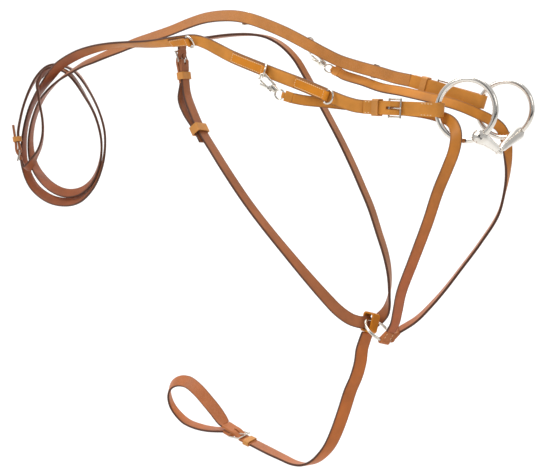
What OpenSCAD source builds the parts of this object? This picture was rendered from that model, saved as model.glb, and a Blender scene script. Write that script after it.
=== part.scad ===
// German martingale with its dee reins, on a loose-ring single-jointed snaffle bit.
// It is posed as worn: the bit in front, the reins gathered behind and above, the neck
// strap round the neck opening and the girth strap below. X runs forward, Y from the
// near (left) side to the far (right) side and Z up. The origin is the mid point
// between the centres of the two bit rings.

/* [Bit] */
// Outside diameter of each bit ring
ring_od = 74; // [72:0.5:75]
// Thickness of the bit rings' round wire
ring_wire = 6.5; // [6:0.1:6.8]
// Distance between the planes of the two bit rings
mouth_w = 130; // [129:0.5:131]
// Thickness of the mouthpiece where it meets a ring
mouth_end_d = 17; // [15:0.5:18]
// Thickness of the mouthpiece beside its middle joint
mouth_mid_d = 10; // [9:0.5:11]
// How far the middle joint hangs below the ring eyes
mouth_droop = 18; // [16:0.5:19]

/* [Straps] */
// Width of the reins
rein_w = 16; // [15:0.5:16]
// Width of the neck strap
neck_w = 16; // [15:0.5:16]
// Width of the two fork straps
fork_w = 13; // [12:0.5:13]
// Width of the girth strap
girth_w = 19; // [18:0.5:19]
// Thickness of every strap
strap_t = 3.4; // [3:0.1:3.5]

/* [Dees and buckles] */
// Thickness of the dees' wire
dee_wire = 2.5; // [2:0.1:2.6]
// Radius of a dee's bow, to the middle of its wire
dee_r = 8.5; // [8:0.1:8.6]
// Width of the stitched tab that holds a dee
tab_w = 13; // [11:0.5:13.5]
// Thickness of the buckle frames' wire
buckle_wire = 2.4; // [2:0.1:2.5]
// Thickness of the keepers' leather
keeper_t = 1.6; // [1.2:0.1:1.8]

/* [Breast ring] */
// Radius of the breast ring, to the middle of its wire
breast_r = 19.5; // [19:0.1:20]
// Thickness of the breast ring's wire
breast_wire = 3.8; // [3.4:0.1:4]

/* [Hidden] */

$fn = 48;
tan = "#c8823c";
tab_tan = "#c8781e";
nickel = "#d9d4cc";

gap_fit = 0.3;                       // clearance between two pieces that lie together
gap_end = 1.2;                       // gap where a strap's swept part meets its end piece
ring_r = (ring_od - ring_wire) / 2;  // radius to the middle of the bit ring's wire
ring_y = mouth_w / 2;
swept_step = 8;                      // spacing of a swept strap's cross sections
bevel = 0.6;                         // bevel along a swept strap's edges
buckle_l = 14;                       // hinge bar to outer bar
wide_buckle_l = 16;                  // the same for the bit ends and the girth
chape_l = 14;                        // length of the doubled leather behind a hinge bar

// ---------------------------------------------------------------- routes
// Every route point is [x, y, z, roll]. Roll turns the strap about its own line:
// at 0 its width lies along Y as nearly as it can, at 90 it stands on edge.

// Where the bit ends of the reins leave their folds, and how they tilt
near_bit_at = [0.9 - ring_r, -ring_y, 0];
near_bit_tilt = 2;
far_bit_turn = 18;
far_bit_at = [(0.9 - ring_r) * cos(far_bit_turn), ring_y, (ring_r - 0.9) * sin(far_bit_turn)];
far_bit_tilt = 16;
bit_end_l = 96;                      // length of the buckled end piece of a rein
fold_r = ring_wire / 2 + 0.5 + strap_t / 2;

// ---------------------------------------------------------------- frames
// A frame is [origin, x, y, z]. put() gives the place of a point held in a frame.
function xyz(p) = [p.x, p.y, p.z];
function unit(v) = v / norm(v);
function frame(p, a, b) =
  let (x = unit(a), y = unit(b - (b * x) * x)) [p, x, y, cross(x, y)];
function put(f, v) = f[0] + v.x * f[1] + v.y * f[2] + v.z * f[3];
function rolled(p, roll) = [p.x, p.y, p.z, roll];

// Bit ends of the reins
near_bit_frame = frame(near_bit_at, [-cos(near_bit_tilt), 0, sin(near_bit_tilt)], [0, 0, -1]);
far_bit_frame = frame(far_bit_at, [-cos(far_bit_tilt), 0, sin(far_bit_tilt)], [0, 0, 1]);

// Buckles: origin on the hinge bar, x towards the strap that comes in to be held
buckle_out = 3.2;                    // how far the outer bar stands out of the hinge bar
billet_in = [buckle_l + 2, 0, buckle_out - 3.3];
wide_in = [34, 0, -0.5];             // where the girth billet begins
billet_rest = 4.4;                   // height of a billet lying on the chape behind
neck_tip = 30;
neck_frame = frame([-435, -17, 66], [-0.15, 0, 0.99], [0, 1, 0]);
rein_frame = frame([-774, -18, -68], [0.14, 0.02, -0.98], [0.7, -0.7, 0.12]);
girth_frame = frame([-362, -1, -469], [0.98, 0, -0.2], [0, 1, 0]);

// Breast ring: z is its axis, so it slopes down to the front
breast_at = [-132.5, -3, -282];
breast_frame = frame(breast_at, [0.81, 0, -0.585], [0, 1, 0]);
near_fold_turn = -32;
far_fold_turn = 34;
function breast_wire_at(turn) = put(breast_frame, breast_r * [cos(turn), sin(turn), 0]);
function breast_tangent(turn) =
  -sin(turn) * breast_frame[1] + cos(turn) * breast_frame[2];
near_breast_fold =
  frame(breast_wire_at(near_fold_turn), [-0.57, 0, -0.82], breast_tangent(near_fold_turn));
far_breast_fold =
  frame(breast_wire_at(far_fold_turn), [-0.71, -0.12, -0.69], breast_tangent(far_fold_turn));
breast_fold_l = 15;
near_fork_end = rolled(put(near_breast_fold, [-breast_fold_l - gap_end, 0, 0]), 32);
far_fork_end = rolled(put(far_breast_fold, [-breast_fold_l - gap_end, 0, 0]), -33);

// Guide loop, round the back of the breast ring and the neck strap: x along its opening
guide_frame = frame(breast_wire_at(152), [0.38, 0.883, -0.274], [-0.918, 0.395, 0]);

// Snap hooks: origin at the hook's middle, x towards the swivel
near_snap_at = [-270, -64, 40];
near_snap_to = [-247, -60, 18];
far_snap_at = [-272, 62, 76];
far_snap_to = [-251, 70, 56];
near_snap_frame = frame(near_snap_at, near_snap_to - near_snap_at, [0.51, 0.62, 0.58]);
far_snap_frame = frame(far_snap_at, far_snap_to - far_snap_at, [0.51, -0.62, 0.58]);
near_swivel_frame = frame(near_snap_at, near_snap_to - near_snap_at, [0, 0, 1]);
far_swivel_frame = frame(far_snap_at, far_snap_to - far_snap_at, [0, 0.5, 0.86]);
swivel_x = 31;
swivel_r = 6;
swivel_wire = 2.4;
swivel_turn = 32;
swivel_seat = [swivel_x + swivel_r * cos(swivel_turn), swivel_r * sin(swivel_turn), 0];
near_fork_lead = [-218, -54, 10] - put(near_swivel_frame, swivel_seat);
far_fork_lead = [-227, 71, 46] - put(far_swivel_frame, swivel_seat);
near_snap_fold = frame(put(near_swivel_frame, swivel_seat), -near_fork_lead, [0, 0, -1]);
far_snap_fold = frame(put(far_swivel_frame, swivel_seat), -far_fork_lead, [0, -0.5, -0.86]);
snap_fold_l = 12;
near_fork_start = rolled(put(near_snap_fold, [-snap_fold_l - gap_end, 0, 0]), 90);
far_fork_start = rolled(put(far_snap_fold, [-snap_fold_l - gap_end, 0, 0]), 62);

// Ends of the straps that the buckles hold
chape_end = [-chape_l - gap_end, 0, 0];
neck_start = rolled(put(neck_frame, chape_end), 0);
neck_end = rolled(put(neck_frame, billet_in + [gap_end, 0, 0]), 0);
neck_tail_start = rolled(put(neck_frame, [-neck_tip - gap_end, 0, billet_rest]), 0);
near_rein_end = rolled(put(rein_frame, chape_end), -45);
far_rein_end = rolled(put(rein_frame, billet_in + [gap_end + 1.6, 0, 0]), 45);
girth_stem_start = rolled(put(guide_frame, [0, 3, -18.2]), 23);
girth_stem_end = rolled(put(girth_frame, wide_in + [gap_end, 0, 0]), 0);
girth_loop_start = rolled(put(girth_frame, [-19 - gap_end, 0, billet_rest + 3]), 0);
girth_loop_end = rolled(put(girth_frame, chape_end), 0);

near_rein_start = [near_bit_at.x - (bit_end_l + gap_end) * cos(near_bit_tilt),
                   near_bit_at.y + fold_r,
                   near_bit_at.z + (bit_end_l + gap_end) * sin(near_bit_tilt), 90];
far_rein_start = [far_bit_at.x - (bit_end_l + gap_end) * cos(far_bit_tilt),
                  far_bit_at.y - fold_r,
                  far_bit_at.z + (bit_end_l + gap_end) * sin(far_bit_tilt), -90];

near_rein_route = [
  near_rein_start,
  [-142, -59, 5, 90], [-160, -59, 10, 90], [-185, -58, 19, 90], [-216, -56, 30, 90], [-256, -53, 43, 90],
  [-292, -50, 55, 90], [-330, -46, 68, 90], [-357, -42, 79, 88], [-380, -38, 88, 76],
  [-400, -36, 93, 60], [-425, -34, 93, 48], [-450, -32, 92, 40], [-485, -30, 91, 30],
  [-523, -28, 92, 22], [-555, -27, 92, 20], [-588, -27, 89, 26], [-621, -26, 83, 34],
  [-648, -25, 75, 34], [-674, -22, 65, 28], [-703, -14, 49, 15], [-731, -4, 34, 0],
  [-754, 3, 18, -12], [-770, 5, 0, -20], [-783, 5, -27, -25], [-788, 3, -57, -20],
  [-786, 1, -89, -5], [-767, 0, -124, 20], [-733, 0, -144, 42], [-694, 0, -149, 50],
  [-658, 0, -141, 50], [-630, 1, -118, 48], [-614, 2, -90, 46], [-607, 3, -62, 44],
  [-608, 4, -33, 42], [-620, 5, -2, 40], [-642, 7, 29, 34], [-667, 9, 54, 22],
  [-688, 10, 64, 10], [-710, 11, 69, 4], [-732, 10, 66, -8], [-753, 7, 52, -25],
  [-766, 1, 31, -38], [-774, -6, 6, -44], [-777, -12, -17, -45], [-777.5, -17, -38, -45],
  near_rein_end
];

far_rein_route = [
  far_rein_start,
  [-145, 60, 41, -90], [-170, 60, 48, -90], [-200, 59, 56, -90], [-226, 58, 64, -90],
  [-248, 56, 74, -90], [-275, 53, 88, -88], [-307, 49, 104, -85], [-336, 46, 116, -82],
  [-362, 43, 125, -80], [-386, 40, 130, -78], [-410, 37, 131, -75], [-435, 34, 129, -72],
  [-460, 30, 123, -70], [-492, 25, 113, -68], [-525, 18, 104, -65], [-548, 10, 97, -62],
  [-565, 2, 90, -58], [-588, -4, 82, -52], [-610, -9, 74, -46], [-632, -12, 67, -40],
  [-656, -13, 57, -34], [-684, -12, 45, -28], [-713, -6, 31, -24], [-738, 0, 15, -22],
  [-757, 4, -6, -24], [-769, 5, -30, -25], [-773, 4, -57, -20], [-768, 3, -85, -5],
  [-752, 1, -106, 15], [-725, 0, -125, 38], [-693, 0, -134, 48], [-661, 0, -130, 50],
  [-638, 1, -116, 48], [-624, 3, -96, 46], [-614, 2, -70, 44], [-615, 3, -42, 42],
  [-627, 4, -10, 38], [-648, 5, 19, 30], [-667, 6, 41, 20], [-681, 5, 54, 10],
  [-693, 1, 61, 2], [-704, -5, 64, -6], [-712, -13, 59, -18], [-715, -22, 50, -30],
  [-718, -27, 38, -38], [-718, -26, 26, -42], [-717, -25, 9, -44], [-715, -22, -18, -45],
  [-717, -21, -41, -42], [-726, -20, -62, -30], [-740, -20, -79, -10], [-754, -19, -93, 15],
  [-763, -17, -96, 35],
  far_rein_end
];

near_fork_route = [
  near_fork_start,
  [-214, -53, 11, 90], [-193, -48, 9, 90], [-161, -47, 6, 90], [-127, -48, 3, 90],
  [-87, -50, 0, 90], [-58, -51, -3, 90], [-38, -53, -7, 90], [-23, -59, -11, 88],
  [-13, -67, -17, 85], [-7, -74, -28, 80], [-8, -77, -45, 72], [-16, -74, -64, 62],
  [-29, -69, -92, 56], [-44, -61, -130, 53], [-67, -48, -180, 50], [-86, -36, -220, 45],
  [-98, -21, -250, 38], [-104, -15, -267, 33],
  near_fork_end
];

far_fork_route = [
  far_fork_start,
  [-225, 70, 45, 70], [-196, 67, 37, 60], [-164, 58, 28, 58], [-133, 52, 23, 60],
  [-103, 48, 17, 62], [-80, 47, 12, 65], [-51, 49, 4, 72], [-28, 54, -6, 82],
  [-14, 61, -14, 92], [-5, 69, -23, 86], [0, 75, -38, 60], [2, 78, -56, 30],
  [3, 77, -77, 2], [1, 75, -100, -14], [-5, 70, -131, -20], [-23, 61, -166, -20],
  [-43, 50, -199, -21], [-60, 38, -227, -23], [-75, 26, -249, -27], [-89, 16, -266, -30],
  far_fork_end
];

neck_route = [
  neck_start,
  [-429, -18, 23, 0], [-414, -25, -1, 4], [-395, -31, -27, 5],
  [-367, -36, -59, 6], [-341, -40, -88, 7], [-313, -39, -122, 8], [-284, -37, -154, 10],
  [-252, -33, -188, 14], [-225, -28, -217, 22], [-202, -23, -241, 32], [-184, -18, -259, 42],
  [-169, -12, -270, 52], [-157, -6, -274, 57], [-154, 2, -275, 57], [-149, 12, -278.5, 56],
  [-146.5, 21, -276, 75], [-137, 24, -265, 62], [-132, 24, -252, 42], [-129, 21, -236, 24],
  [-129, 19, -212, 12], [-136, 22, -187, 4],
  [-149, 27, -159, 2], [-163, 31, -128, 0], [-178, 33, -100, 0], [-193, 34, -72, 0],
  [-210, 34, -42, 0], [-228, 33, -12, 0], [-246, 30, 19, 0], [-260, 25, 45, 0],
  [-271, 18, 66, 0], [-286, 11, 83, 0], [-304, 5, 94, 0], [-325, 0, 99, 0],
  [-349, -4, 100, 0], [-371, -8, 99, 0], [-392, -12, 97, 0], [-410, -14, 96, 0], [-426, -16, 95, 0],
  [-435, -17, 92, 0],
  neck_end
];
// The rest of the neck strap's long end, below its fixed keeper
neck_tail_route = [
  neck_tail_start,
  [-437, -19, 14, 0], [-422, -26, -7, 3], [-399, -32, -29.5, 5],
  [-387, -35, -45, 5]
];

girth_stem_route = [
  girth_stem_start,
  [-154, 2, -298, 26], [-158, 1.5, -312, 28], [-160, 1, -330, 30], [-165, 0, -350, 33],
  [-174, 0, -372, 35], [-182, -1, -399, 36], [-192, -2, -429, 35], [-202, -3, -452, 31],
  [-214, -4, -469, 25], [-227, -5, -481, 18], [-242, -5, -488, 12], [-258, -5, -489, 8],
  [-277, -4, -486, 4], [-299, -3, -482, 0],
  girth_stem_end
];
girth_loop_route = [
  girth_loop_start,
  [-384, -2, -452, -20], [-395, -2, -441, -36], [-409, -2, -429, -46], [-427, -3, -414, -50],
  [-446, -3, -405, -46], [-465, -3, -407, -40], [-479, -2, -417, -36], [-484, -1, -431, -30],
  [-480, 0, -447, -20], [-470, 1, -459, -12], [-453, 1, -469, -5], [-430, 0, -472, 0],
  [-405, -1, -471, 0],
  girth_loop_end
];

// Place of each dee on its rein: [route point, share of the way to the next point]
near_dee_spot = [[10, 0.3], [5, 0.45], [2, 0.72]];
far_dee_spot = [[9, 0.5], [6, 0.1], [2, 0.33]];

// ---------------------------------------------------------------- strap mathematics
function leg(r, i) = norm(xyz(r[i + 1]) - xyz(r[i]));

// Change per millimetre at a route point, from the points on either side of it
function slope(r, i) =
  i == 0 ? (r[1] - r[0]) / leg(r, 0)
  : i == len(r) - 1 ? (r[i] - r[i - 1]) / leg(r, i - 1)
  : (r[i + 1] - r[i - 1]) / (leg(r, i - 1) + leg(r, i));

// Smooth curve between route points i and i + 1, at share u of the way
function between(r, i, u) =
  let (d = leg(r, i), a = slope(r, i) * d, b = slope(r, i + 1) * d)
  (2 * u^3 - 3 * u^2 + 1) * r[i] + (u^3 - 2 * u^2 + u) * a
  + (3 * u^2 - 2 * u^3) * r[i + 1] + (u^3 - u^2) * b;

function swept_points(r) = [
  for (i = [0 : len(r) - 2])
    let (n = max(1, round(leg(r, i) / swept_step)))
    each [for (j = [0 : n - 1]) between(r, i, j / n)],
  r[len(r) - 1]
];

function heading(p, i) =
  unit(xyz(p[min(i + 1, len(p) - 1)]) - xyz(p[max(i - 1, 0)]));

// Direction of the strap's width, for a heading h and a roll
function across(h, roll) =
  let (level = unit([0, 1, 0] - h.y * h))
  cos(roll) * level + sin(roll) * cross(h, level);

function strap_section(w, t) = [
  [w / 2 - bevel, t / 2], [w / 2, t / 2 - bevel],
  [w / 2, bevel - t / 2], [w / 2 - bevel, -t / 2],
  [bevel - w / 2, -t / 2], [-w / 2, bevel - t / 2],
  [-w / 2, t / 2 - bevel], [bevel - w / 2, t / 2]
];

module strap(route, w, t = strap_t) {
  p = swept_points(route);
  section = strap_section(w, t);
  k = len(section);
  last = len(p) - 1;
  points = [
    for (i = [0 : last])
      let (h = heading(p, i), side = across(h, p[i][3]), up = cross(h, side))
      each [for (q = section) xyz(p[i]) + q.x * side + q.y * up]
  ];
  start_cap = [for (j = [k - 1 : -1 : 0]) j];
  end_cap = [for (j = [0 : k - 1]) last * k + j];
  walls = [
    for (i = [0 : last - 1], j = [0 : k - 1])
      let (a = i * k + j, b = i * k + (j + 1) % k)
      each [[a, b, b + k], [a, b + k, a + k]]
  ];
  polyhedron(points, concat([start_cap, end_cap], walls));
}

// Places children in a frame
module at(f) {
  p = f[0];
  x = f[1];
  y = f[2];
  z = f[3];
  multmatrix([[x.x, y.x, z.x, p.x], [x.y, y.y, z.y, p.y], [x.z, y.z, z.z, p.z]]) children();
}

// Frame on a strap's outer face: x runs back along the route, z out of the strap
function strap_frame(route, spot) =
  let (
    here = between(route, spot[0], spot[1]),
    ahead = between(route, spot[0], spot[1] + 0.01),
    h = unit(xyz(ahead) - xyz(here))
  )
  frame(xyz(here), -h, -across(h, here[3]));

// ---------------------------------------------------------------- shared shapes
module wire_ring(r, wire) {
  rotate_extrude(convexity = 4) translate([r, 0]) circle(d = wire);
}

// Round bar from one point to another: plain, or with round ends
module rod(a, b, wire) {
  v = b - a;
  translate(a)
    rotate([0, acos(v.z / norm(v)), atan2(v.y, v.x)])
      cylinder(d = wire, h = norm(v));
}
module wire_bar(a, b, wire) {
  rod(a, b, wire);
  for (p = [a, b]) translate(p) sphere(d = wire);
}

// Flat band of leather bent to a line of [x, z] points and extruded over its width
function bend_dir(line, i) =
  unit(line[min(i + 1, len(line) - 1)] - line[max(i - 1, 0)]);
function bend_side(line, i, d) =
  let (u = bend_dir(line, i)) line[i] + d * [-u.y, u.x];
module bent_band(line, w, t) {
  n = len(line);
  rotate([90, 0, 0]) linear_extrude(height = w, center = true)
    polygon(concat(
      [for (i = [0 : n - 1]) bend_side(line, i, t / 2)],
      [for (i = [n - 1 : -1 : 0]) bend_side(line, i, -t / 2)]));
}

// Band of leather closed round other straps: hollow box with rounded edges, open along x
module rounded_slab(l, w, h, r) {
  rotate([90, 0, 90]) linear_extrude(height = l, center = true) {
    square([w - 2 * r, h], center = true);
    square([w, h - 2 * r], center = true);
    for (y = [-1, 1], z = [-1, 1]) translate([y * (w / 2 - r), z * (h / 2 - r)]) circle(r);
  }
}
module keeper(l, w, z0, z1, t = keeper_t, r = 1.2) {
  color(tan) translate([0, 0, (z0 + z1) / 2]) difference() {
    rounded_slab(l, w + 2 * t, z1 - z0 + 2 * t, r + t);
    rounded_slab(l + 1, w, z1 - z0, r);
  }
}

// Folded leather that holds a bar along y at the origin; its slab lies towards -x
module bar_fold(bar_wire, w, l, z0, z1, t) {
  hole = bar_wire / 2 + gap_fit;
  rotate([90, 0, 0]) linear_extrude(height = w, center = true) difference() {
    union() {
      circle(hole + t);
      polygon([[-l, z0], [0, -hole - t], [0, hole + t], [-hole - t - 1, z1], [-l, z1]]);
    }
    circle(hole);
  }
}

// Folded end of a fork strap before the ring's wire is cut out of it: narrow where it
// passes inside the ring, full width beyond
module ring_fold(ring_wire_d, w_in, w, l, t) {
  out_r = ring_wire_d / 2 + 0.4 + t;
  rotate([90, 0, 0]) {
    linear_extrude(height = w_in, center = true) circle(out_r);
    linear_extrude(height = w, center = true)
      polygon([[-l, -strap_t / 2], [-2, -out_r + 0.8], [-2, out_r - 0.8], [-l, strap_t / 2]]);
  }
}

// ---------------------------------------------------------------- buckles
// A buckle's own frame: hinge bar along y at the origin, outer bar towards +x, z outward.
module buckle_frame(half_w, out_z, l) {
  color(nickel) {
    for (y = [-1, 1])
      rod([0, y * half_w, 0], [l, y * half_w, out_z], buckle_wire - 0.3);
    rod([0, -half_w - 1.2, 0], [0, half_w + 1.2, 0], buckle_wire);
    rod([l, -half_w - 1.2, out_z], [l, half_w + 1.2, out_z], buckle_wire);
  }
}

tongue_wire = 2.2;
module buckle_tongue(out_z, l) {
  eye_in = buckle_wire / 2 + 0.25;
  color(nickel) difference() {
    union() {
      rotate([90, 0, 0]) cylinder(r = eye_in + 1.5, h = 3, center = true);
      rod([2.2, 0, 1.6], [l + 1, 0, out_z + 2.95], tongue_wire - 0.1);
      translate([l + 1, 0, out_z + 2.95]) sphere(d = tongue_wire + 0.1);
    }
    rotate([90, 0, 0]) cylinder(r = eye_in, h = 4, center = true);
  }
}

// The billet's line through a buckle whose own strap ends at the hinge bar
module buckle_billet(line, w, slot_l) {
  color(tan) difference() {
    bent_band(line, w, strap_t - 0.2);
    translate([slot_l / 2 - 2, 0, 4]) cube([slot_l, 3.4, 12], center = true);
  }
}
module buckle_chape(w) {
  color(tan) difference() {
    bar_fold(buckle_wire, w, chape_l, -strap_t / 2, strap_t / 2, 1.8);
    cube([9, 3.8, 12], center = true);
  }
}
billet_line = [
  [buckle_l + 2, buckle_out - 3.3], [12, 0], [8, 1.6], [4, 4.2], [0, 5.3], [-4, 5.3],
  [-10, billet_rest + 0.3], [-16, billet_rest], [-neck_tip, billet_rest]];
rein_billet_line = concat([for (i = [0 : 7]) billet_line[i]], [[-42, billet_rest]]);
girth_billet_line = [
  [34, -0.5], [20, -0.2], [15, 0], [8, 2.7], [4, 4.6], [0, 5.4], [-4, 5.6],
  [-10, billet_rest + 2], [-18, billet_rest + 3]];

// ---------------------------------------------------------------- bit end of a rein
// Own frame: bit ring's wire along y at the origin, rein towards +x, z outward.
bit_hinge = [61, 0, -0.4];
bit_out = 3;
function fold_arc(r) = [for (a = [270 : -15 : 90]) r * [cos(a), sin(a)]];
bit_billet_line = concat(
  [[bit_end_l, -fold_r]],
  fold_arc(fold_r),
  [[20, 4.6], [32, 2], [41, -0.5], [47, -0.7], [53, 1.8], [58, 4.1],
   [62, 4.5], [66, 3.6], [71, 1.9], [84, 1.5], [94, -0.8]]);

module bit_end_billet() {
  color(tan) {
    difference() {
      bent_band(bit_billet_line, rein_w, strap_t - 0.2);
      translate([55, 0, 6]) cube([14.5, 3.4, 16], center = true);
    }
    difference() {
      translate(bit_hinge) rotate([0, 0, 180])
        bar_fold(buckle_wire, tab_w, 14, -3.8, -0.4, 1.4);
      translate(bit_hinge + [0, 0, 2]) cube([9, 3.8, 10], center = true);
    }
  }
}
module at_bit_hinge() {
  translate(bit_hinge) rotate([0, 0, 180]) children();
}

// ---------------------------------------------------------------- dees
// Own frame: x towards the bow, z out of the strap and 0 at its middle.
tab_leather = 1.3;
tab_gap = 0.8;                       // a straight tab on a gently curved rein
dee_bar_z = strap_t / 2 + tab_gap + tab_leather + gap_fit + dee_wire / 2;
module dee(swing) {
  bow_x = 2;
  color(nickel) translate([0, 0, dee_bar_z]) rotate([0, -swing, 0]) {
    wire_bar([0, -dee_r, 0], [0, dee_r, 0], dee_wire);
    for (y = [-1, 1]) wire_bar([0, y * dee_r, 0], [bow_x, y * dee_r, 0], dee_wire);
    translate([bow_x, 0, 0]) rotate([0, 0, -90])
      rotate_extrude(angle = 180, convexity = 4) translate([dee_r, 0]) circle(d = dee_wire);
  }
}
module dee_tab(l) {
  low = strap_t / 2 + tab_gap - dee_bar_z;
  color(tab_tan) translate([0, 0, dee_bar_z])
    bar_fold(dee_wire, tab_w, l, low, low + 2 * tab_leather, tab_leather);
}
near_dee_frames = [for (q = near_dee_spot) strap_frame(near_rein_route, q)];
far_dee_frames = [for (q = far_dee_spot) strap_frame(far_rein_route, q)];
tab_lengths = [11, 40, 36];
dee_swing = [8, 50, 8];

// ---------------------------------------------------------------- snap hooks
snap_wire = 3.2;
hook_r = 4.6;
base_x = 19;
hinge_at = [15.5, -4.6, 0];
hook_line = [for (a = [240, 205, 170, 135, 100]) hook_r * [cos(a), sin(a), 0]];
module snap_body() {
  color(nickel) difference() {
    union() {
      for (i = [0 : 3]) rod(hook_line[i], hook_line[i + 1], snap_wire - 0.2);
      for (p = hook_line) translate(p) sphere(d = snap_wire);
      rod(hook_line[4], [base_x, 4, 0], snap_wire - 0.2);
      translate([base_x - 1.2, 0, 0]) rotate([0, 90, 0]) cylinder(d = 8, h = 5.8);
      for (z = [-2.6, 2.6])
        translate([17.3, -3.9, z]) cube([5.4, 3.4, 1.6], center = true);
      translate(hinge_at) cylinder(d = 1.6, h = 5.2, center = true);
    }
    translate([14, 0, 0]) rotate([0, 90, 0]) cylinder(d = 3.6, h = 12);
  }
}
module snap_lever() {
  color(nickel) difference() {
    union() {
      translate(hinge_at) cylinder(r = 2, h = 3, center = true);
      wire_bar([15.5, -4.6, 0], [1.2, -5, 0], 2.6);
      translate([9.2, -7.2, 0]) rotate([0, 0, 21]) cube([11, 1.6, 4], center = true);
    }
    translate(hinge_at) cylinder(r = 1.1, h = 4, center = true);
  }
}
module snap_swivel() {
  color(nickel) {
    translate([16.2, 0, 0]) rotate([0, 90, 0]) cylinder(d = 3, h = swivel_x - swivel_r - 16.2);
    translate([15.2, 0, 0]) rotate([0, 90, 0]) cylinder(d = 4.4, h = 1.6);
    translate([swivel_x, 0, 0]) wire_ring(swivel_r, swivel_wire);
  }
}
module snap_end(fold, swivel) {
  color(tan) difference() {
    at(fold) ring_fold(swivel_wire, 7, fork_w, snap_fold_l, 1.5);
    at(swivel) translate([swivel_x, 0, 0]) wire_ring(swivel_r, swivel_wire + 0.7);
  }
}
module breast_end(fold) {
  color(tan) difference() {
    at(fold) ring_fold(breast_wire, fork_w, fork_w, breast_fold_l, 2);
    at(breast_frame) wire_ring(breast_r, breast_wire + 0.8);
  }
}

// ---------------------------------------------------------------- mouthpiece
eye_turn = -60;
arm_eye = ring_r * [cos(eye_turn), 0, sin(eye_turn)];
joint_drop = mouth_droop;
module bit_ring(side) {
  color(nickel) translate([0, side * ring_y, 0]) rotate([90, 0, 0]) wire_ring(ring_r, ring_wire);
}
// One arm of the mouthpiece: x from the ring's eye to the middle joint
arm_vector = [0, ring_y, -joint_drop];
arm_l = norm(arm_vector);
module mouth_arm(side, joint_turn) {
  start = [arm_eye.x, side * ring_y, arm_eye.z];
  f = frame(start, [0, -side * ring_y, -joint_drop], [1, 0, 0]);
  color(nickel) difference() {
    at(f) {
      rotate([0, 90, 0]) rotate_extrude(convexity = 4) polygon([
        [0, -8], [3.4, -7.6], [6.4, -6], [8, -3], [mouth_end_d / 2, 0], [8.3, 5], [7.4, 14],
        [6.4, 28], [mouth_mid_d / 2 + 0.4, 44], [mouth_mid_d / 2, 54], [3.6, 60.4],
        [0, 60.4]]);
      translate([arm_l - 2.9, 0, 0]) rotate([joint_turn, 0, 0]) wire_ring(5, 3.6);
    }
    translate([0, side * ring_y, 0]) rotate([90, 0, 0]) wire_ring(ring_r, ring_wire + 1.2);
  }
}

// ---------------------------------------------------------------- sub-parts
module near_rein() { color(tan) strap(near_rein_route, rein_w); }
module far_rein() { color(tan) strap(far_rein_route, rein_w); }
module near_bit_billet() { at(near_bit_frame) bit_end_billet(); }
module far_bit_billet() { at(far_bit_frame) bit_end_billet(); }
keeper_low = -fold_r - strap_t / 2 - 0.3;
module near_bit_keeper() {
  at(near_bit_frame) translate([77, 0, 0]) keeper(8, rein_w + 0.8, keeper_low, 4.2);
}
module far_bit_keeper() {
  at(far_bit_frame) translate([77, 0, 0]) keeper(8, rein_w + 0.8, keeper_low, 4.2);
}
bit_half = rein_w / 2 + 2.2;
module near_bit_buckle_frame() {
  at(near_bit_frame) at_bit_hinge() buckle_frame(bit_half, bit_out, wide_buckle_l);
}
module far_bit_buckle_frame() {
  at(far_bit_frame) at_bit_hinge() buckle_frame(bit_half, bit_out, wide_buckle_l);
}
module near_bit_buckle_tongue() {
  at(near_bit_frame) at_bit_hinge() buckle_tongue(bit_out, wide_buckle_l);
}
module far_bit_buckle_tongue() {
  at(far_bit_frame) at_bit_hinge() buckle_tongue(bit_out, wide_buckle_l);
}
module near_dee_tab_1() { at(near_dee_frames[0]) dee_tab(tab_lengths[0]); }
module near_dee_tab_2() { at(near_dee_frames[1]) dee_tab(tab_lengths[1]); }
module near_dee_tab_3() { at(near_dee_frames[2]) dee_tab(tab_lengths[2]); }
module far_dee_tab_1() { at(far_dee_frames[0]) dee_tab(tab_lengths[0]); }
module far_dee_tab_2() { at(far_dee_frames[1]) dee_tab(tab_lengths[1]); }
module far_dee_tab_3() { at(far_dee_frames[2]) dee_tab(tab_lengths[2]); }
module near_dee_1() { at(near_dee_frames[0]) dee(dee_swing[0]); }
module near_dee_2() { at(near_dee_frames[1]) dee(dee_swing[1]); }
module near_dee_3() { at(near_dee_frames[2]) dee(dee_swing[2]); }
module far_dee_1() { at(far_dee_frames[0]) dee(dee_swing[0]); }
module far_dee_2() { at(far_dee_frames[1]) dee(dee_swing[1]); }
module far_dee_3() { at(far_dee_frames[2]) dee(dee_swing[2]); }
module near_fork() { color(tan) strap(near_fork_route, fork_w); }
module far_fork() { color(tan) strap(far_fork_route, fork_w); }
module near_fork_snap_end() { snap_end(near_snap_fold, near_swivel_frame); }
module far_fork_snap_end() { snap_end(far_snap_fold, far_swivel_frame); }
module near_fork_breast_end() { breast_end(near_breast_fold); }
module far_fork_breast_end() { breast_end(far_breast_fold); }
module near_snap_body() { at(near_snap_frame) snap_body(); }
module far_snap_body() { at(far_snap_frame) snap_body(); }
module near_snap_lever() { at(near_snap_frame) snap_lever(); }
module far_snap_lever() { at(far_snap_frame) snap_lever(); }
module near_snap_swivel() { at(near_swivel_frame) snap_swivel(); }
module far_snap_swivel() { at(far_swivel_frame) snap_swivel(); }
module breast_ring() { color(nickel) at(breast_frame) wire_ring(breast_r, breast_wire); }
module guide_loop() {
  at(guide_frame) translate([0, 2.3, 0]) keeper(12, 15.4, -14.8, 7, 2.2, 2.4);
}
module neck_strap() {
  color(tan) {
    strap(neck_route, neck_w);
    strap(neck_tail_route, neck_w, strap_t - 0.2);
  }
}
module neck_chape() { at(neck_frame) buckle_chape(neck_w); }
module neck_billet() { at(neck_frame) buckle_billet(billet_line, neck_w, 13); }
module neck_keeper_fixed() {
  at(neck_frame) translate([-20, 0, 0])
    keeper(10, neck_w + 1.4, -strap_t / 2 - 0.6, billet_rest + 2);
}
runner_frame = frame([-397, -31.5, -28.2], [0.58, -0.14, -0.8], [0, 1, 0]);
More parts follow.
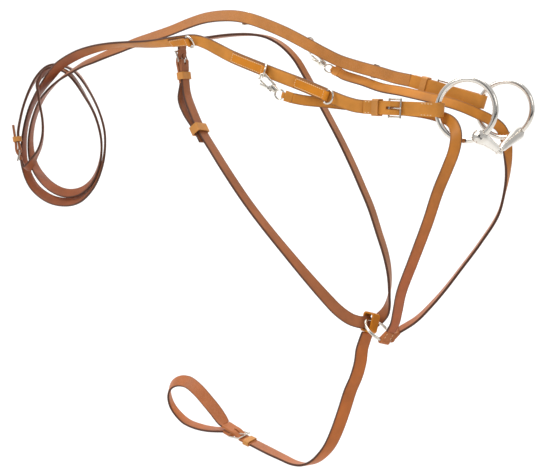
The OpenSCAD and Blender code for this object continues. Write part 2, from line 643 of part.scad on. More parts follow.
module neck_keeper_runner() { at(runner_frame) keeper(12, neck_w + 4.4, -6.3, 6.3); }
module neck_buckle_frame() { at(neck_frame) buckle_frame(neck_w / 2 + 2.2, buckle_out, buckle_l); }
module neck_buckle_tongue() { at(neck_frame) buckle_tongue(buckle_out, buckle_l); }
module girth_strap() {
  color(tan) {
    strap(girth_stem_route, girth_w);
    strap(girth_loop_route, girth_w, strap_t - 0.2);
  }
}
module girth_chape() { at(girth_frame) buckle_chape(girth_w); }
module girth_billet() { at(girth_frame) buckle_billet(girth_billet_line, girth_w, 15.5); }
module girth_keeper() {
  at(girth_frame) translate([27, 0, 0]) keeper(9, girth_w + 0.8, -2.8, 1.8);
}
module girth_buckle_frame() {
  at(girth_frame) buckle_frame(girth_w / 2 + 4, buckle_out, wide_buckle_l);
}
module girth_buckle_tongue() { at(girth_frame) buckle_tongue(buckle_out, wide_buckle_l); }
module rein_chape() { at(rein_frame) buckle_chape(rein_w); }
module rein_billet() { at(rein_frame) buckle_billet(rein_billet_line, rein_w, 13); }
module rein_keeper() {
  at(rein_frame) translate([-19, 0, 0]) keeper(8, rein_w + 2, -3.9, billet_rest + 2);
}
module rein_buckle_frame() { at(rein_frame) buckle_frame(rein_w / 2 + 2.2, buckle_out, buckle_l); }
module rein_buckle_tongue() { at(rein_frame) buckle_tongue(buckle_out, buckle_l); }
module near_bit_ring() { bit_ring(-1); }
module far_bit_ring() { bit_ring(1); }
module near_mouthpiece_arm() { mouth_arm(-1, 45); }
module far_mouthpiece_arm() { mouth_arm(1, 45); }

near_rein();
far_rein();
near_bit_billet();
far_bit_billet();
near_bit_keeper();
far_bit_keeper();
near_bit_buckle_frame();
far_bit_buckle_frame();
near_bit_buckle_tongue();
far_bit_buckle_tongue();
near_dee_tab_1();
near_dee_tab_2();
near_dee_tab_3();
far_dee_tab_1();
far_dee_tab_2();
far_dee_tab_3();
near_dee_1();
near_dee_2();
near_dee_3();
far_dee_1();
far_dee_2();
far_dee_3();
near_fork();
far_fork();
near_fork_snap_end();
far_fork_snap_end();
near_fork_breast_end();
far_fork_breast_end();
near_snap_body();
far_snap_body();
near_snap_lever();
far_snap_lever();
near_snap_swivel();
far_snap_swivel();
breast_ring();
guide_loop();
neck_strap();
neck_chape();
neck_billet();
neck_keeper_fixed();
neck_keeper_runner();
neck_buckle_frame();
neck_buckle_tongue();
girth_strap();
girth_chape();
girth_billet();
girth_keeper();
girth_buckle_frame();
girth_buckle_tongue();
rein_chape();
rein_billet();
rein_keeper();
rein_buckle_frame();
rein_buckle_tongue();
near_bit_ring();
far_bit_ring();
near_mouthpiece_arm();
far_mouthpiece_arm();
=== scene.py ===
import math

import bpy
import numpy as np
from mathutils import Matrix, Vector


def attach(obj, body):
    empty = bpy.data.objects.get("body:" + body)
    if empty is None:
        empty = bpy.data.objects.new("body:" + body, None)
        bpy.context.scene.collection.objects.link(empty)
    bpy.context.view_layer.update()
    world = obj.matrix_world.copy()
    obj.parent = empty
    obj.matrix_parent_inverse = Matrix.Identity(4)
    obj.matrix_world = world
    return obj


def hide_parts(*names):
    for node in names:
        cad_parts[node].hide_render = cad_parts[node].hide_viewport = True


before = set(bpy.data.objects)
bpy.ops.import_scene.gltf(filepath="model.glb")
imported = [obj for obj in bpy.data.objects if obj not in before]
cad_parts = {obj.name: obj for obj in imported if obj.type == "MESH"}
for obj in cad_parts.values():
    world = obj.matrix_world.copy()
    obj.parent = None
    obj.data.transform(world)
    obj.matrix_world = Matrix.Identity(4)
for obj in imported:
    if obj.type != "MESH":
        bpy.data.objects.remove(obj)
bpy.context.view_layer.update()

# ------------------------------------------------------------------ numbers, in millimetres
REIN_W, NECK_W, FORK_W, GIRTH_W, T = 16, 16, 13, 19, 3.4
RING_R, RING_Y = 33.75, 65
FOLD_R = 6.5 / 2 + 0.5 + T / 2


def vec(*v):
    return np.array(v, float)


def unit(v):
    return v / np.linalg.norm(v)


def axes(p, a, b):
    x = unit(vec(*a))
    b = vec(*b)
    y = unit(b - (b @ x) * x)
    return vec(*p), x, y, np.cross(x, y)


def put(f, x, y=0, z=0):
    return f[0] + x * f[1] + y * f[2] + z * f[3]


def cosd(a):
    return math.cos(math.radians(a))


def sind(a):
    return math.sin(math.radians(a))


def rolled(p, roll):
    return [*p, roll]


NEAR_BIT = axes((0.9 - RING_R, -RING_Y, 0), (-cosd(2), 0, sind(2)), (0, 0, -1))
FAR_BIT = axes(((0.9 - RING_R) * cosd(18), RING_Y, (RING_R - 0.9) * sind(18)), (-cosd(16), 0, sind(16)), (0, 0, 1))
NECK = axes((-435, -17, 66), (-0.15, 0, 0.99), (0, 1, 0))
REIN = axes((-774, -18, -68), (0.14, 0.02, -0.98), (0.7, -0.7, 0.12))
GIRTH = axes((-362, -1, -469), (0.98, 0, -0.2), (0, 1, 0))
BREAST = axes((-132.5, -3, -282), (0.81, 0, -0.585), (0, 1, 0))
BREAST_R = 19.5


def breast_at(turn):
    return put(BREAST, BREAST_R * cosd(turn), BREAST_R * sind(turn))


def breast_along(turn):
    return -sind(turn) * BREAST[1] + cosd(turn) * BREAST[2]


NEAR_FOLD = axes(breast_at(-32), (-0.57, 0, -0.82), breast_along(-32))
FAR_FOLD = axes(breast_at(34), (-0.71, -0.12, -0.69), breast_along(34))
GUIDE = axes(breast_at(152), (0.38, 0.883, -0.274), (-0.918, 0.395, 0))
NEAR_SNAP = axes((-270, -64, 40), (23, 4, -22), (0, 0, 1))
FAR_SNAP = axes((-272, 62, 76), (21, 8, -20), (0, 0.5, 0.86))
SEAT = (31 + 6 * cosd(32), 6 * sind(32))
near_seat = put(NEAR_SNAP, *SEAT)
far_seat = put(FAR_SNAP, *SEAT)
NEAR_EYE = axes(near_seat, near_seat - vec(-218, -54, 10), (0, 0, -1))
FAR_EYE = axes(far_seat, far_seat - vec(-227, 71, 46), (0, -0.5, -0.86))

# ------------------------------------------------------------------ strap routes, [x, y, z, roll]
NEAR_REIN = [
  rolled(put(NEAR_BIT, 96.2, 0, -FOLD_R), 90),
  [-142, -59, 5, 90], [-160, -59, 10, 90], [-185, -58, 19, 90], [-216, -56, 30, 90], [-256, -53, 43, 90],
  [-292, -50, 55, 90], [-330, -46, 68, 90], [-357, -42, 79, 88], [-380, -38, 88, 76],
  [-400, -36, 93, 60], [-425, -34, 93, 48], [-450, -32, 92, 40], [-485, -30, 91, 30],
  [-523, -28, 92, 22], [-555, -27, 92, 20], [-588, -27, 89, 26], [-621, -26, 83, 34],
  [-648, -25, 75, 34], [-674, -22, 65, 28], [-703, -14, 49, 15], [-731, -4, 34, 0],
  [-754, 3, 18, -12], [-770, 5, 0, -20], [-783, 5, -27, -25], [-788, 3, -57, -20],
  [-786, 1, -89, -5], [-767, 0, -124, 20], [-733, 0, -144, 42], [-694, 0, -149, 50],
  [-658, 0, -141, 50], [-630, 1, -118, 48], [-614, 2, -90, 46], [-607, 3, -62, 44],
  [-608, 4, -33, 42], [-620, 5, -2, 40], [-642, 7, 29, 34], [-667, 9, 54, 22],
  [-688, 10, 64, 10], [-710, 11, 69, 4], [-732, 10, 66, -8], [-753, 7, 52, -25],
  [-766, 1, 31, -38], [-774, -6, 6, -44], [-777, -12, -17, -45], [-777.5, -17, -38, -45],
  rolled(put(REIN, -14.2), -45)
]
FAR_REIN = [
  rolled(put(FAR_BIT, 96.2, 0, -FOLD_R), -90),
  [-145, 60, 41, -90], [-170, 60, 48, -90], [-200, 59, 56, -90], [-226, 58, 64, -90],
  [-248, 56, 74, -90], [-275, 53, 88, -88], [-307, 49, 104, -85], [-336, 46, 116, -82],
  [-362, 43, 125, -80], [-386, 40, 130, -78], [-410, 37, 131, -75], [-435, 34, 129, -72],
  [-460, 30, 123, -70], [-492, 25, 113, -68], [-525, 18, 104, -65], [-548, 10, 97, -62],
  [-565, 2, 90, -58], [-588, -4, 82, -52], [-610, -9, 74, -46], [-632, -12, 67, -40],
  [-656, -13, 57, -34], [-684, -12, 45, -28], [-713, -6, 31, -24], [-738, 0, 15, -22],
  [-757, 4, -6, -24], [-769, 5, -30, -25], [-773, 4, -57, -20], [-768, 3, -85, -5],
  [-752, 1, -106, 15], [-725, 0, -125, 38], [-693, 0, -134, 48], [-661, 0, -130, 50],
  [-638, 1, -116, 48], [-624, 3, -96, 46], [-614, 2, -70, 44], [-615, 3, -42, 42],
  [-627, 4, -10, 38], [-648, 5, 19, 30], [-667, 6, 41, 20], [-681, 5, 54, 10],
  [-693, 1, 61, 2], [-704, -5, 64, -6], [-712, -13, 59, -18], [-715, -22, 50, -30],
  [-718, -27, 38, -38], [-718, -26, 26, -42], [-717, -25, 9, -44], [-715, -22, -18, -45],
  [-717, -21, -41, -42], [-726, -20, -62, -30], [-740, -20, -79, -10], [-754, -19, -93, 15],
  [-763, -17, -96, 35],
  rolled(put(REIN, 16.2, 0, -0.1), 45)
]
NEAR_FORK = [
  rolled(put(NEAR_EYE, -12.2), 90),
  [-214, -53, 11, 90], [-193, -48, 9, 90], [-161, -47, 6, 90], [-127, -48, 3, 90],
  [-87, -50, 0, 90], [-58, -51, -3, 90], [-38, -53, -7, 90], [-23, -59, -11, 88],
  [-13, -67, -17, 85], [-7, -74, -28, 80], [-8, -77, -45, 72], [-16, -74, -64, 62],
  [-29, -69, -92, 56], [-44, -61, -130, 53], [-67, -48, -180, 50], [-86, -36, -220, 45],
  [-98, -21, -250, 38], [-104, -15, -267, 33],
  rolled(put(NEAR_FOLD, -15.2), 32)
]
FAR_FORK = [
  rolled(put(FAR_EYE, -12.2), 62),
  [-225, 70, 45, 70], [-196, 67, 37, 60], [-164, 58, 28, 58], [-133, 52, 23, 60],
  [-103, 48, 17, 62], [-80, 47, 12, 65], [-51, 49, 4, 72], [-28, 54, -6, 82],
  [-14, 61, -14, 92], [-5, 69, -23, 86], [0, 75, -38, 60], [2, 78, -56, 30],
  [3, 77, -77, 2], [1, 75, -100, -14], [-5, 70, -131, -20], [-23, 61, -166, -20],
  [-43, 50, -199, -21], [-60, 38, -227, -23], [-75, 26, -249, -27], [-89, 16, -266, -30],
  rolled(put(FAR_FOLD, -15.2), -33)
]
NECK_STRAP = [
  rolled(put(NECK, -14.2), 0),
  [-429, -18, 23, 0], [-414, -25, -1, 4], [-395, -31, -27, 5],
  [-367, -36, -59, 6], [-341, -40, -88, 7], [-313, -39, -122, 8], [-284, -37, -154, 10],
  [-252, -33, -188, 14], [-225, -28, -217, 22], [-202, -23, -241, 32], [-184, -18, -259, 42],
  [-169, -12, -270, 52], [-157, -6, -274, 57], [-154, 2, -275, 57], [-149, 12, -278.5, 56],
  [-146.5, 21, -276, 75], [-137, 24, -265, 62], [-132, 24, -252, 42], [-129, 21, -236, 24],
  [-129, 19, -212, 12], [-136, 22, -187, 4],
  [-149, 27, -159, 2], [-163, 31, -128, 0], [-178, 33, -100, 0], [-193, 34, -72, 0],
  [-210, 34, -42, 0], [-228, 33, -12, 0], [-246, 30, 19, 0], [-260, 25, 45, 0],
  [-271, 18, 66, 0], [-286, 11, 83, 0], [-304, 5, 94, 0], [-325, 0, 99, 0],
  [-349, -4, 100, 0], [-371, -8, 99, 0], [-392, -12, 97, 0], [-410, -14, 96, 0], [-426, -16, 95, 0],
  [-435, -17, 92, 0],
  rolled(put(NECK, 16.2, 0, -0.1), 0)
]
NECK_TAIL = [
  rolled(put(NECK, -30.2, 0, 4.4), 0),
  [-437, -19, 14, 0], [-422, -26, -7, 3], [-399, -32, -29.5, 5],
  [-387, -35, -45, 5]
]
GIRTH_STEM = [
  rolled(put(GUIDE, 0, 3, -17.2), 23),
  [-154, 2, -298, 26], [-158, 1.5, -312, 28], [-160, 1, -330, 30], [-165, 0, -350, 33],
  [-174, 0, -372, 35], [-182, -1, -399, 36], [-192, -2, -429, 35], [-202, -3, -452, 31],
  [-214, -4, -469, 25], [-227, -5, -481, 18], [-242, -5, -488, 12], [-258, -5, -489, 8],
  [-277, -4, -486, 4], [-299, -3, -482, 0],
  rolled(put(GIRTH, 34.2, 0, -0.5), 0)
]
GIRTH_LOOP = [
  rolled(put(GIRTH, -18.2, 0, 7.4), 0),
  [-384, -2, -452, -20], [-395, -2, -441, -36], [-409, -2, -429, -46], [-427, -3, -414, -50],
  [-446, -3, -405, -46], [-465, -3, -407, -40], [-479, -2, -417, -36], [-484, -1, -431, -30],
  [-480, 0, -447, -20], [-470, 1, -459, -12], [-453, 1, -469, -5], [-430, 0, -472, 0],
  [-405, -1, -471, 0],
  rolled(put(GIRTH, -14.2), 0)
]


def leg(r, i):
    return np.linalg.norm(r[i + 1][:3] - r[i][:3])


def slope(r, i):
    if i == 0:
        return (r[1] - r[0]) / leg(r, 0)
    if i == len(r) - 1:
        return (r[i] - r[i - 1]) / leg(r, i - 1)
    return (r[i + 1] - r[i - 1]) / (leg(r, i - 1) + leg(r, i))


def between(r, i, u):
    d = leg(r, i)
    a, b = slope(r, i) * d, slope(r, i + 1) * d
    return ((2 * u**3 - 3 * u**2 + 1) * r[i] + (u**3 - 2 * u**2 + u) * a
            + (3 * u**2 - 2 * u**3) * r[i + 1] + (u**3 - u**2) * b)


def across(h, roll):
    level = unit(vec(0, 1, 0) - h[1] * h)
    return cosd(roll) * level + sind(roll) * np.cross(h, level)


def sampled(route, step):
    """Positions, headings, widths and outward normals along a route."""
    r = np.array([list(p) for p in route], float)
    pts = []
    for i in range(len(r) - 1):
        n = max(1, round(leg(r, i) / step))
        pts += [between(r, i, j / n) for j in range(n)]
    pts.append(r[-1])
    pts = np.array(pts)
    p = pts[:, :3]
    h = np.gradient(p, axis=0)
    h /= np.linalg.norm(h, axis=1)[:, None]
    w = np.array([across(h[k], pts[k, 3]) for k in range(len(p))])
    return p, h, w, np.cross(h, w)


def dee_axes(route, i, u):
    r = np.array([list(p) for p in route], float)
    here, ahead = between(r, i, u), between(r, i, u + 0.01)
    h = unit(ahead[:3] - here[:3])
    return axes(here[:3], -h, -across(h, here[3]))


# ------------------------------------------------------------------ materials
def node(nt, kind, **inputs):
    n = nt.nodes.new(kind)
    for key, value in inputs.items():
        n.inputs[key.replace("_", " ")].default_value = value
    return n


def leather(name, grain, flesh, edge, stripe=True, rough=0.42, darker=None):
    """Bridle leather. The mesh attributes side and rim give the face and the distance from the edge.
    darker is (grain, flesh, axis, from, to): the colours that the leather turns to along that axis, in metres. On the
    reins this is painted shade where they run into the coil; on the forks it makes them darker towards the bottom."""
    m = bpy.data.materials.new(name)
    m.use_nodes = True
    nt = m.node_tree
    b = nt.nodes["Principled BSDF"]
    link = nt.links.new
    co = nt.nodes.new("ShaderNodeTexCoord")
    big = node(nt, "ShaderNodeTexNoise", Scale=26.0, Detail=4.0, Roughness=0.6)
    fine = node(nt, "ShaderNodeTexNoise", Scale=900.0, Detail=3.0, Roughness=0.6)
    pore = node(nt, "ShaderNodeTexVoronoi", Scale=1400.0)
    for t in (big, fine, pore):
        link(co.outputs["Object"], t.inputs["Vector"])

    def mix(fac, a, c, how="MIX"):
        n = nt.nodes.new("ShaderNodeMix")
        n.data_type = "RGBA"
        n.blend_type = how
        for sock, value in (("Factor", fac), ("A", a), ("B", c)):
            wanted = "VALUE" if sock == "Factor" else "RGBA"
            s = [q for q in n.inputs if q.name == sock and q.type == wanted][0]
            if hasattr(value, "is_linked"):
                link(value, s)
            else:
                s.default_value = value
        return [q for q in n.outputs if q.type == "RGBA"][0]

    def ramp(source, a, c):
        n = nt.nodes.new("ShaderNodeMapRange")
        link(source, n.inputs["Value"])
        n.inputs["From Min"].default_value = a
        n.inputs["From Max"].default_value = c
        return n.outputs["Result"]

    def rgba(c, k=1.0):
        return (c[0] * k, c[1] * k, c[2] * k, 1)

    side = nt.nodes.new("ShaderNodeAttribute")
    side.attribute_name = "side"
    rim = nt.nodes.new("ShaderNodeAttribute")
    rim.attribute_name = "rim"
    tone = ramp(big.outputs["Fac"], 0.35, 0.65)
    g = mix(tone, rgba(grain, 0.86), rgba(grain, 1.12))
    f = mix(tone, rgba(flesh, 0.85), rgba(flesh, 1.1))
    if darker:
        place = nt.nodes.new("ShaderNodeSeparateXYZ")
        link(co.outputs["Object"], place.inputs[0])
        along = ramp(place.outputs[darker[2]], darker[3], darker[4])
        g = mix(along, g, mix(tone, rgba(darker[0], 0.86), rgba(darker[0], 1.12)))
        f = mix(along, f, rgba(darker[1]))
    f = mix(ramp(fine.outputs["Fac"], 0.4, 0.6), f, mix(0.08, f, rgba((1, 0.7, 0.4))))
    colour = mix(side.outputs["Fac"], g, f)
    if stripe:
        colour = mix(rim.outputs["Fac"], colour, rgba(edge))
    link(colour, b.inputs["Base Color"])
    r = nt.nodes.new("ShaderNodeMapRange")
    link(big.outputs["Fac"], r.inputs["Value"])
    r.inputs["To Min"].default_value = rough - 0.07
    r.inputs["To Max"].default_value = rough + 0.14
    link(r.outputs["Result"], b.inputs["Roughness"])
    b.inputs["Specular IOR Level"].default_value = 0.28
    bump = node(nt, "ShaderNodeBump", Strength=0.16, Distance=0.0004)
    add = nt.nodes.new("ShaderNodeMath")
    add.operation = "ADD"
    link(fine.outputs["Fac"], add.inputs[0])
    link(pore.outputs["Distance"], add.inputs[1])
    link(add.outputs[0], bump.inputs["Height"])
    link(bump.outputs["Normal"], b.inputs["Normal"])
    return m


def plain(name, colour, rough, metal=0.0, wear=0.0):
    m = bpy.data.materials.new(name)
    m.use_nodes = True
    nt = m.node_tree
    b = nt.nodes["Principled BSDF"]
    b.inputs["Base Color"].default_value = (*colour, 1)
    b.inputs["Metallic"].default_value = metal
    b.inputs["Roughness"].default_value = rough
    if wear:
        co = nt.nodes.new("ShaderNodeTexCoord")
        n = node(nt, "ShaderNodeTexNoise", Scale=160.0, Detail=4.0)
        r = nt.nodes.new("ShaderNodeMapRange")
        nt.links.new(co.outputs["Object"], n.inputs["Vector"])
        nt.links.new(n.outputs["Fac"], r.inputs["Value"])
        r.inputs["To Min"].default_value = rough - wear
        r.inputs["To Max"].default_value = rough + wear
        nt.links.new(r.outputs["Result"], b.inputs["Roughness"])
    return m


FLESH = (0.40, 0.19, 0.10)
EDGE = (0.085, 0.034, 0.02)
# Both reins turn darker along X where they run into the coil: that darkening is painted shade.
rein_leather = leather(
    "rein leather", (0.60, 0.235, 0.034), (0.34, 0.115, 0.035), EDGE,
    darker=((0.30, 0.088, 0.034), (0.25, 0.082, 0.038), "X", -0.44, -0.64))
# The far rein's flesh face is painted nearly as bright as its grain: painted light where that face turns up to the
# lamps.
far_rein_lit_leather = leather(
    "far rein leather", (0.56, 0.21, 0.034), (0.55, 0.21, 0.042), EDGE,
    darker=((0.28, 0.085, 0.034), (0.32, 0.10, 0.034), "X", -0.36, -0.62))
fork_leather = leather(
    "fork leather", (0.58, 0.215, 0.025), (0.50, 0.17, 0.022), EDGE,
    darker=((0.40, 0.105, 0.032), (0.40, 0.12, 0.045), "Z", 0.0, -0.20))
neck_leather = leather("neck leather", (0.34, 0.115, 0.042), (0.36, 0.12, 0.036), EDGE)
girth_leather = leather("girth leather", (0.46, 0.125, 0.02), (0.42, 0.12, 0.035), EDGE)
gold_leather = leather("golden leather", (0.62, 0.21, 0.008), FLESH, EDGE)
keeper_leather = leather("keeper leather", (0.60, 0.255, 0.06), FLESH, EDGE, stripe=False)
end_leather = leather("end leather", (0.60, 0.235, 0.034), FLESH, EDGE, stripe=False)
fork_end_leather = leather("fork end leather", (0.42, 0.13, 0.035), FLESH, EDGE, stripe=False)
nickel = plain("nickel", (0.74, 0.69, 0.61), 0.16, 1.0, 0.05)
bit_steel = plain("bit steel", (0.80, 0.75, 0.68), 0.15, 1.0, 0.05)
thread = plain("thread", (0.80, 0.62, 0.36), 0.7)


# ------------------------------------------------------------------ straps
def mesh_object(name, verts, faces, material, side=None, rim=None):
    me = bpy.data.meshes.new(name)
    me.from_pydata([tuple(v) for v in np.asarray(verts) / 1000], [], faces)
    for key, data in (("side", side), ("rim", rim)):
        if data is not None:
            a = me.attributes.new(key, "FLOAT", "POINT")
            a.data.foreach_set("value", np.asarray(data, float))
    me.materials.append(material)
    me.validate()
    for p in me.polygons:
        p.use_smooth = True
    o = bpy.data.objects.new(name, me)
    bpy.context.scene.collection.objects.link(o)
    return o


def section(w, t):
    """Half-round edges, with a shallow crease line near each edge of the grain face: (across, out, side, rim)."""
    e, h = w / 2, t / 2
    grain = [(e - 0.75, h, 0, 0.35), (e - 1.3, h, 0, 0), (e - 1.7, h - 0.16, 0, 0.3), (e - 2.1, h, 0, 0),
             (e - 4, h + 0.08, 0, 0)]
    flesh = [(e - 0.75, -h, 1, 0.3), (e - 1.6, -h, 1, 0), (e - 4, -h, 1, 0)]
    edge = [(e - 0.22, h - 0.25, 0.2, 0.9), (e, h - 0.8, 0.5, 1), (e, -h + 0.8, 0.6, 1),
            (e - 0.22, -h + 0.25, 0.8, 0.9)]
    right = grain[::-1] + edge + flesh
    left = [(-a, b, s, r) for a, b, s, r in right[::-1]]
    return right + left


def strap(name, cad, parts, w, material, body="straps", t=T):
    verts, faces, side, rim = [], [], [], []
    for route, thick in parts:
        p, h, wd, out = sampled(route, 2.2)
        sec = section(w, thick)
        k, base = len(sec), len(verts)
        for i in range(len(p)):
            shrink = 0.82 if i in (0, len(p) - 1) else 1.0
            for a, b, s, r in sec:
                verts.append(p[i] + a * wd[i] + b * shrink * out[i])
                side.append(s)
                rim.append(r)
        for i in range(len(p) - 1):
            for j in range(k):
                a, b = base + i * k + j, base + i * k + (j + 1) % k
                faces.append((a, a + k, b + k, b))
        faces.append([base + j for j in range(k)])
        faces.append([base + (len(p) - 1) * k + j for j in range(k)][::-1])
    o = mesh_object(name, verts, faces, material, side, rim)
    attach(o, body)
    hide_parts(cad)
    return o


strap("near_rein_strap", "near_rein", [(NEAR_REIN, T)], REIN_W, rein_leather)
strap("far_rein_strap", "far_rein", [(FAR_REIN, T)], REIN_W, far_rein_lit_leather)
strap("near_fork_strap", "near_fork", [(NEAR_FORK, T)], FORK_W, fork_leather)
strap("far_fork_strap", "far_fork", [(FAR_FORK, T)], FORK_W, fork_leather)
strap("neck_band", "neck_strap", [(NECK_STRAP, T), (NECK_TAIL, T - 0.2)], NECK_W, neck_leather)
strap("girth_band", "girth_strap", [(GIRTH_STEM, T), (GIRTH_LOOP, T - 0.2)], GIRTH_W, girth_leather)

# ------------------------------------------------------------------ dee tabs
DEE_BAR = T / 2 + 0.8 + 1.3 + 0.3 + 1.25
TAB_LINE = [(-2.75, 0.2, -0.2), (-2.1, 1.8, -1.8), (-1, 2.5, -2.5), (0, 2.75, -2.7), (1.5, 2.5, -3.1), (3, 1.7, -3.4),
            (5, 0.3, -3.5), (7, -0.6, -3.5), (9, -0.8, -3.5)]


def tab(cad, route, i, u, l):
    """Doubled strip stitched on the rein, folded round the dee's bar. Returns its stitches."""
    p, h, w, out = sampled(route, 0.5)
    far = np.concatenate([[0], np.cumsum(np.linalg.norm(np.diff(p, axis=0), axis=1))])
    start = far[np.argmin(np.linalg.norm(p - dee_axes(route, i, u)[0], axis=1))]

    def at(d):
        return tuple(np.array([np.interp(start + d, far, q[:, c]) for c in range(3)]) for q in (p, h, w, out))

    line = TAB_LINE + [(d, -0.8, -3.5) for d in np.arange(11, l - 1, 2)] + [(l - 0.8, -0.8, -3.5), (l, -1.2, -3.4)]
    half, verts, rim = 6.5, [], []
    for d, top, low in line:
        q, _, wide, up = at(d)
        top, low = DEE_BAR + top, DEE_BAR + low
        e = min(0.45, (top - low) / 3)
        right = [(half - 1.6, top, 0), (half - 0.5, top, 0.3), (half, top - e, 1), (half, low + e, 1),
                 (half - 0.5, low, 0.5)]
        for a, b, c in right + [(-a, b, c) for a, b, c in right[::-1]]:
            verts.append(q + a * wide + b * up)
            rim.append(c)
    n = 10
    faces = [(k * n + j, k * n + n + j, k * n + n + (j + 1) % n, k * n + (j + 1) % n)
             for k in range(len(line) - 1) for j in range(n)]
    faces += [list(range(n)), [(len(line) - 1) * n + j for j in range(n)][::-1]]
    o = mesh_object(cad + "_leather", verts, faces, gold_leather, np.zeros(len(verts)), rim)
    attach(o, "straps")
    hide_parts(cad)
    seam = []
    for d in np.arange(6.5, l - 1.5, 3.2):
        q, along, wide, up = at(d)
        seam += [(q + a * wide + (DEE_BAR - 0.78) * up, along, up) for a in (-5, 5)]
    for d in (5.2, l - 1.9):
        q, along, wide, up = at(d)
        height = DEE_BAR - 0.78 if d > 9 else DEE_BAR + 0.25
        seam += [(q + a * wide + height * up, wide, up) for a in (-3.2, 0, 3.2)]
    return seam


seams = []
# Each tab: [route point, share of the way to the next point, length]
TABS = (("near", NEAR_REIN, ((10, 0.3, 36), (5, 0.45, 60), (2, 0.72, 52))),
        ("far", FAR_REIN, ((9, 0.5, 36), (6, 0.1, 60), (2, 0.33, 52))))
for side, route, spots in TABS:
    for k, (i, u, l) in enumerate(spots):
        seams += tab(f"{side}_dee_tab_{k + 1}", route, i, u, l)

# ------------------------------------------------------------------ CAD pieces that stay
for name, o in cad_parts.items():
    if "dee_tab" in name or name in ("near_rein", "far_rein", "near_fork", "far_fork", "neck_strap", "girth_strap"):
        continue
    if name.endswith("bit_ring") or "mouthpiece" in name:
        m = bit_steel
    elif name == "guide_loop":
        m = gold_leather
    elif "keeper" in name:
        m = keeper_leather
    elif name.startswith("neck") and "buckle" not in name:
        m = neck_leather
    elif name.startswith("rein_") and "buckle" not in name:
        m = neck_leather
    elif name.startswith("girth") and "buckle" not in name or name.endswith("breast_end"):
        m = fork_end_leather
    elif "billet" in name or "chape" in name or name.endswith("_end"):
        m = end_leather
    else:
        m = nickel
    o.data.materials.clear()
    o.data.materials.append(m)
    if m not in (nickel, bit_steel):
        bevel = o.modifiers.new("soft edges", "BEVEL")
        bevel.width = 0.0005
        bevel.segments = 2
        bevel.limit_method = "ANGLE"
        bevel.angle_limit = math.radians(40)

# ------------------------------------------------------------------ stitching
def row(a, b, out, gap=3.3):
    n = max(1, int(np.linalg.norm(b - a) / gap))
    return [(a + (b - a) * (i + 0.5) / n, unit(b - a), out) for i in range(n)]


for f in (NEAR_BIT, FAR_BIT):
    for y in (-6.3, 6.3):
        seams += row(put(f, 84, y, 3.1), put(f, 93, y, 1.2), f[3])
        seams += row(put(f, 4, y, 7.0), put(f, 19, y, 6.3), f[3])
for f in (NEAR_FOLD, FAR_FOLD):
    for y in (-4.6, 4.6):
        seams += row(put(f, -5, y, 3.1), put(f, -14, y, 1.9), f[3])
        seams += row(put(f, -5, y, -3.1), put(f, -14, y, -1.9), -f[3])
verts, faces = [], []
for c, along, out in seams:
    wide = np.cross(out, along)
    base = len(verts)
    for u, rad in ((-1.2, 0.05), (-0.9, 0.34), (0, 0.42), (0.9, 0.34), (1.2, 0.05)):
        for q in range(6):
            verts.append(c + u * along + rad * (cosd(q * 60) * wide + 0.8 * sind(q * 60) * out))
    for s in range(4):
        for q in range(6):
            k, m = base + s * 6 + q, base + s * 6 + (q + 1) % 6
            faces.append((k, m, m + 6, k + 6))
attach(mesh_object("stitching", verts, faces, thread), "straps")

# ------------------------------------------------------------------ studio
turn = Matrix.Rotation(math.radians(33), 4, "Z")


def stage_mesh(name, verts, faces, colour):
    me = bpy.data.meshes.new(name)
    me.from_pydata([turn @ Vector(v) for v in verts], [], faces)
    me.materials.append(plain(name, colour, 0.9))
    for p in me.polygons:
        p.use_smooth = True
    o = bpy.data.objects.new(name, me)
    bpy.context.scene.collection.objects.link(o)
    return o


# Grey cards behind the camera and at the sides, so that the metal has something dark to reflect
CARDS = (("card_left", -3.2, -3.4, -1.5, -0.6, 2.4), ("card_right", -3.2, 0.4, 1.6, -0.6, 2.4),
         ("card_low", -2.4, -2.6, 2.2, -0.64, -0.2))
for name, y, x0, x1, z0, z1 in CARDS:
    corners = [(x0, y, z0), (x1, y, z0), (x1, y, z1), (x0, y, z1)]
    card = stage_mesh(name, corners, [(0, 1, 2, 3)], (0.025, 0.025, 0.03))
    card.visible_camera = card.visible_diffuse = card.visible_shadow = False

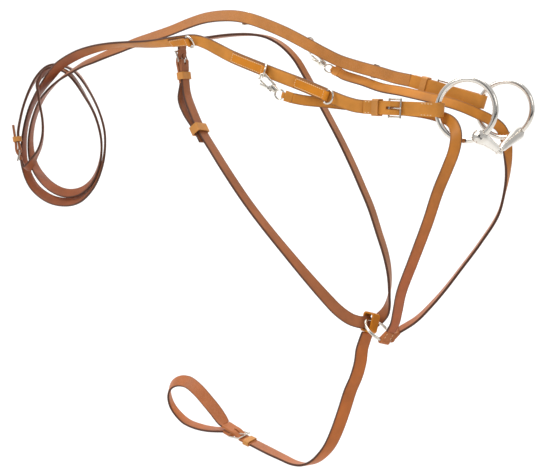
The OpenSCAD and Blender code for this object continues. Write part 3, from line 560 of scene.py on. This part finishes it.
low = -0.66
cove = [(1.6 + 1.2 * sind(a), low + 1.2 - 1.2 * cosd(a)) for a in range(10, 91, 10)]
profile = [(-6, low), (1.6, low)] + cove + [(2.8, 6)]
verts = [(x, y, z) for y, z in profile for x in (-7, 7)]
faces = [(2 * i, 2 * i + 1, 2 * i + 3, 2 * i + 2) for i in range(len(profile) - 1)]
stage_mesh("pale floor", verts, faces, (0.86, 0.86, 0.85))

scene = bpy.context.scene
scene.view_settings.view_transform = "Standard"
world = bpy.data.worlds.new("studio")
world.use_nodes = True
world.node_tree.nodes["Background"].inputs["Color"].default_value = (0.95, 0.97, 1, 1)
world.node_tree.nodes["Background"].inputs["Strength"].default_value = 0.62
scene.world = world


def lamp(name, place, aim, wide, watts, colour=(1, 1, 1)):
    d = bpy.data.lights.new(name, "AREA")
    d.shape = "SQUARE"
    d.size = wide
    d.energy = watts
    d.color = colour
    o = bpy.data.objects.new(name, d)
    o.location = place
    look = (vec(*aim) - vec(*place))
    z = -unit(look)
    x = unit(np.cross(vec(0, 0, 1), z))
    y = np.cross(z, x)
    o.matrix_world = Matrix([[x[i], y[i], z[i], place[i]] for i in range(3)] + [[0, 0, 0, 1]])
    scene.collection.objects.link(o)


lamp("key", (-1.1, -1.7, 1.7), (-0.35, 0, -0.1), 1.1, 25, (1, 0.98, 0.95))
lamp("fill", (1.9, -1.0, 0.9), (-0.35, 0, -0.1), 1.0, 6)
lamp("wall light", (-0.6, 0.8, 2.8), (-1.6, 2.6, 0), 2.4, 80)

# ------------------------------------------------------------------ camera at the photo's place
az, el = 33, 8.4
right = vec(cosd(az), sind(az), 0)
up = vec(-sind(az) * sind(el), cosd(az) * sind(el), cosd(el))
ahead = vec(-sind(az) * cosd(el), cosd(az) * cosd(el), -sind(el))
eye = vec(0, -0.065, 0) - 0.997 * (196 / 900 * right + 128 / 900 * up + ahead)
cam = bpy.data.cameras.new("camera")
cam.sensor_width = 36
cam.lens = 60
co = bpy.data.objects.new("camera", cam)
co.matrix_world = Matrix([[right[i], up[i], -ahead[i], eye[i]] for i in range(3)] + [[0, 0, 0, 1]])
scene.collection.objects.link(co)
scene.camera = co
